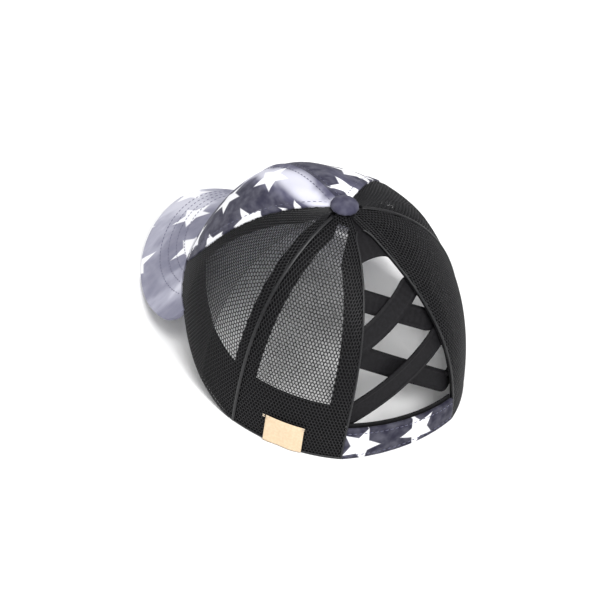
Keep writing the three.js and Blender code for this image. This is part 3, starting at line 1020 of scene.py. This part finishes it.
def strap_line(left_share, right_share, level, count=60):
    """Middle points and outward normals of a strap, from the left tab's end to the right one's."""
    ups = np.array([left_share, right_share]) * OPENING_TOP
    edges = BACK + np.array([-1, 1]) * opening_half(ups)
    tabs = edges + np.array([-1, 1]) * STRAP_TAB / spacing(edges, ups)
    share = np.linspace(0, 1, count)
    left_tab = np.linspace(tabs[0], edges[0], TAB_STEPS + 1)[:-1]
    right_tab = np.linspace(edges[1], tabs[1], TAB_STEPS + 1)[1:]
    theta = np.concatenate([left_tab, lerp(edges[0], edges[1], share), right_tab])
    tab_ups = [np.full(TAB_STEPS, height) for height in ups]
    up = np.concatenate([tab_ups[0], lerp(ups[0], ups[1], share), tab_ups[1]])
    points = layer(theta, up, STRAP_DEPTH[level])
    span = slice(TAB_STEPS, TAB_STEPS + count)
    chord = lerp(points[TAB_STEPS], points[TAB_STEPS + count - 1], share[:, None])
    points[span] = lerp(points[span], chord, STRAP_TAUTNESS[level])
    normals = crown_normal(theta, up)
    for _ in range(3):
        points[1:-1] = (points[:-2] + 2 * points[1:-1] + points[2:]) / 4
    return points, normals


def strap_surface(points, normals):
    along = np.gradient(points, axis=0)
    across = np.cross(along, normals)
    across /= np.linalg.norm(across, axis=1, keepdims=True)
    stations = np.linspace(0, 1, len(points))

    def surface(u, v):
        def at(values):
            return np.stack([np.interp(v, stations, values[:, k]) for k in range(3)], -1)

        offset = (u - 0.5) * STRAP_WIDTH
        from_edge = STRAP_WIDTH / 2 - np.abs(offset)
        line = 0.28 * MM * bell(from_edge, STRAP_HEM, 0.45 * MM)
        soft = -0.25 * MM * bell(from_edge, 0, 0.8 * MM)
        return at(points) + at(across) * offset[:, None] + at(normals) * (line + soft)[:, None]

    return surface


for name, left, right, level in STRAPS:
    points, normals = strap_line(left, right, level)
    bm = unit_grid(28, len(points) - 1)
    u, v = grid_places(bm)
    set_points(bm, strap_surface(points, normals)(u, v))
    length = np.linalg.norm(np.diff(points, axis=0), axis=1).sum()
    set_flat(bm, v * length, u * STRAP_WIDTH)
    turn_outward(bm)
    make_piece(bm, name + "_elastic", webbing, [name], STRAP_WALL, 0.25 * MM)
    print(name, "is", round(length / MM), "mm long")

# %% [markdown]
# ## The back band
# Below the opening a strip of the printed cloth closes the hem. It is folded at its top and
# bottom and topstitched, and a black strip inside stands a little above it.

# %% Back band and its lining
BAND_HEIGHT_LEFT = 21 * MM
BAND_HEIGHT_RIGHT = 16 * MM
BAND_WALL = 2.0 * MM
LINING_SHOWS = 2 * MM
BAND_STITCH_TOP = 3 * MM  # below the band's top
BAND_STITCH_LOW = 2.5 * MM  # above its foot


def strip_place(extra):
    def place(u, v):
        up = v * (lerp(BAND_HEIGHT_LEFT, BAND_HEIGHT_RIGHT, u) + extra)
        half = opening_half(up) - SEAM_GAP / spacing(opening_edge(up), up)
        return BACK + (2 * u - 1) * half, up

    return place


def band_relief(theta, up, u, v):
    height = lerp(BAND_HEIGHT_LEFT, BAND_HEIGHT_RIGHT, u)
    from_top = height - up
    stitch = 0.25 * MM * bell(from_top, BAND_STITCH_TOP, 0.6 * MM)
    stitch += 0.25 * MM * bell(up, BAND_STITCH_LOW, 0.6 * MM)
    return stitch - 0.25 * MM * np.sin(np.pi * v) + 0.15 * MM * np.sin(u * 34) * np.sin(np.pi * v)


crown_sheet(
    "back_band_cloth", 90, 30, strip_place(0), band_relief, BAND_WALL,
    band_cloth, ["back_band"], 0.5 * MM,
)
crown_sheet(
    "band_lining_cloth", 60, 10, strip_place(LINING_SHOWS), BAND_WALL + 0.4 * MM, 1.0 * MM,
    lining_cloth, ["band_lining"], 0.25 * MM,
)
bm = bmesh.new()
u = np.linspace(0.01, 0.99, 120)
band_tops = lerp(BAND_HEIGHT_LEFT, BAND_HEIGHT_RIGHT, u)
for heights in (band_tops - BAND_STITCH_TOP, np.full_like(u, BAND_STITCH_LOW)):
    crown_stitches(bm, BACK + (2 * u - 1) * opening_half(heights), heights, -0.05 * MM)
make_piece(bm, "band_topstitch", slate_thread)

# %% [markdown]
# ## The label
# A small woven label is tacked to the left back net. It is bare here, and short stitches hold its
# upper corners.

# %% Label
LABEL_ANGLE = math.radians(129.4)
LABEL_WIDTH = 22.6 * MM
LABEL_HEIGHT = 16.8 * MM
LABEL_LIFT = 0.8 * MM


def label_place(u, v):
    up = LABEL_LIFT + v * LABEL_HEIGHT
    half = LABEL_WIDTH / 2 / spacing(np.full_like(up, LABEL_ANGLE), up)
    return LABEL_ANGLE + (2 * u - 1) * half, up


def label_relief(theta, up, u, v):
    return -1.0 * MM - 0.25 * MM * np.sin(3 * np.pi * u + 1) * (1 - v)


crown_sheet(
    "label_cloth", 30, 24, label_place, label_relief, 0.6 * MM,
    label_cloth, ["label"], 0.15 * MM,
)
bm = bmesh.new()
for end, outward in ((0.04, -1), (0.96, 1)):
    for height in (0.96, 1.02):
        theta, up = label_place(end + outward * np.linspace(-0.08, 0.14, 8), np.full(8, height))
        crown_stitches(bm, theta, up, -1.55 * MM, length=2.0 * MM, gap=0.5 * MM, radius=0.25 * MM)
make_piece(bm, "label_tacks", light_thread)

# %% [markdown]
# ## The button
# The button that hides where the six panels meet is a metal disc covered with the printed cloth.
# Spinning its profile gives the dome, and faint pleats come from drawing the cloth underneath.

# %% Button
BUTTON_RADIUS = 7.9 * MM
BUTTON_HEIGHT = 5 * MM
BUTTON_RIM = 1 * MM


def make_button():
    bm = bmesh.new()
    foot = Vector((0, CROWN_Y + APEX_BACK, CROWN_HEIGHT + SEAM_GAP))
    profile = [(0, 0), (BUTTON_RADIUS * 0.9, 0), (BUTTON_RADIUS * 0.985, 0.35 * BUTTON_RIM)]
    for i in range(11):
        turn = math.pi / 2 * i / 10
        out = BUTTON_RADIUS * math.cos(turn) if i < 10 else 0
        profile.append((out, BUTTON_RIM + (BUTTON_HEIGHT - BUTTON_RIM) * math.sin(turn)))
    verts = [bm.verts.new(foot + Vector((out, 0, high))) for out, high in profile]
    edges = [bm.edges.new(pair) for pair in zip(verts, verts[1:])]
    bmesh.ops.spin(
        bm, geom=verts + edges, cent=foot, axis=(0, 0, 1),
        angle=2 * math.pi, steps=72, use_merge=True,
    )
    bmesh.ops.remove_doubles(bm, verts=bm.verts, dist=0.02 * MM)
    bmesh.ops.recalc_face_normals(bm, faces=bm.faces)
    bm.normal_update()
    for vert in bm.verts:
        away = vert.co - foot
        angle = math.atan2(away.y, away.x)
        low = 1 - min(away.z / BUTTON_HEIGHT, 1)
        vert.co += vert.normal * 0.12 * MM * math.sin(14 * angle) * low
    points = np.array([vert.co[:] for vert in bm.verts])
    set_flat(bm, points[:, 0], points[:, 1])
    return make_piece(bm, "button_cloth", button_cloth, ["button"])


make_button()

# %% [markdown]
# ## The peak
# The peak is a stiff board covered with the print above and below. Rows of stitching run round
# it, each an even step in from the edge, and pull the cloth down into shallow grooves between
# softly padded strips. The rows follow the edge, so a groove's place is a distance from the edge.

# %% Peak
PEAK_ROWS = [(13.0 + 5.65 * i) * MM for i in range(4)]
PEAK_GAP = 0.4 * MM
TIP_SHARE = 0.9


def peak_lines(u):
    """Root points, reach vectors and their lengths on the peak's plan, for u from -1 to 1."""
    theta = u * PEAK_TIP
    root = np.stack(hem_plan(theta), -1)
    normal = crown_normal(theta, np.zeros_like(theta))[:, :2]
    root = root + normal / np.linalg.norm(normal, axis=1, keepdims=True) * PEAK_GAP
    reach = np.stack(peak_edge(u), -1) - root
    length = np.linalg.norm(reach, axis=1)
    beyond = np.clip((np.abs(u) - TIP_SHARE) / (1 - TIP_SHARE), 0, 1)
    kept = lerp(np.minimum(PEAK_TIP_WIDTH, length), length, np.sqrt(1 - beyond * beyond))
    return root, reach * (kept / length)[:, None], kept


def peak_surface(u, w, lift=0.0):
    root, reach, kept = peak_lines(u)
    plan = root + reach * w[:, None]
    z = PEAK_RISE - peak_drop(plan[:, 0], plan[:, 1]) + lift
    return np.stack([plan[:, 0], plan[:, 1] + CROWN_Y, z], -1), kept * (1 - w)


def peak_relief(inset):
    """Grooves at the stitch rows, and a rounded outer edge."""
    grooves = sum(bell(inset, row, 0.7 * MM) for row in PEAK_ROWS)
    piping = 0.25 * MM * bell(inset, 3 * MM, 1.4 * MM)
    return piping - 0.4 * MM * grooves


def make_peak():
    bm = unit_grid(260, 84)
    u, w = grid_places(bm)
    u = 2 * u - 1
    points, inset = peak_surface(u, w)
    points[:, 2] += peak_relief(inset)
    set_points(bm, points)
    set_flat(bm, points[:, 0], points[:, 1] + FRONT_REACH - CROWN_Y)
    turn_outward(bm, Vector((0, 0, 1)))
    rim = 0.7 * MM
    return make_piece(bm, "peak_cloth", peak_cloth, ["peak"], PEAK_THICKNESS, rim)


make_peak()
bm = bmesh.new()
for row in PEAK_ROWS:
    u = np.linspace(-1, 1, 400)
    kept = peak_lines(u)[2]
    inside = kept > row + 0.5 * MM
    points, inset = peak_surface(u[inside], 1 - row / kept[inside], -0.22 * MM)
    stitch_row(bm, points, np.tile([0.0, 0.0, 1.0], (len(points), 1)), radius=0.26 * MM)
make_piece(bm, "peak_stitching", peak_thread)
print("peak made with", len(PEAK_ROWS), "rows of stitching")

# %% [markdown]
# ## Folds along the net's seams and edges
# Where net meets net, the seam stands up as a narrow fold, and at the hem and the opening the net
# is rolled under. These narrow strips cover the cut strands as the real ones do.

# %% Seam folds and rolled edges
ROLL_RADIUS = 0.65 * MM


def fold_place(side, seam, half, start=0.6 * MM, stop=10 * MM):
    def place(u, v):
        up = lerp(start, crown_length(seam(v * BACK_LENGTH)) - stop, v)
        theta = seam(up)
        return side * (theta + (2 * u - 1) * half / spacing(theta, up)), up

    return place


def fold_relief(height):
    def relief(theta, up, u, v):
        return -height * np.sin(np.pi * u) ** 0.6 + 0.2 * MM

    return relief


for side, hand in ((1, "left"), (-1, "right")):
    crown_sheet(
        f"net_seam_fold_{hand}", 8, 110, fold_place(side, back_seam, 1.1 * MM),
        fold_relief(0.55 * MM), 0.4 * MM, net_knit,
    )
    ups = np.linspace(0.5 * MM, OPENING_TOP - 1 * MM, 160)
    edge_line = layer(side * opening_edge(ups), ups, NET_DEPTH)
    make_tube(f"opening_roll_{hand}", edge_line, ROLL_RADIUS, net_knit)
    turns = side * np.linspace(float(front_seam(0.0)), float(opening_edge(0.0)), 140)
    hem_line = layer(turns, np.full_like(turns, 0.7 * MM), NET_DEPTH)
    make_tube(f"hem_roll_{hand}", hem_line, ROLL_RADIUS, net_knit)
print("folds laid")

# %% [markdown]
# ## Last look
# The dressed cap has to stay the size of its frame, so both boxes are printed.

# %% Boxes and the end
visual_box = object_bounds()
boxes = {"cad": cad_box, "visual": visual_box}
boxes = {name: [list(corner) for corner in box] for name, box in boxes.items()}
for name, (low, high) in boxes.items():
    print(name, [round(value / MM, 1) for value in low], [round(value / MM, 1) for value in high])
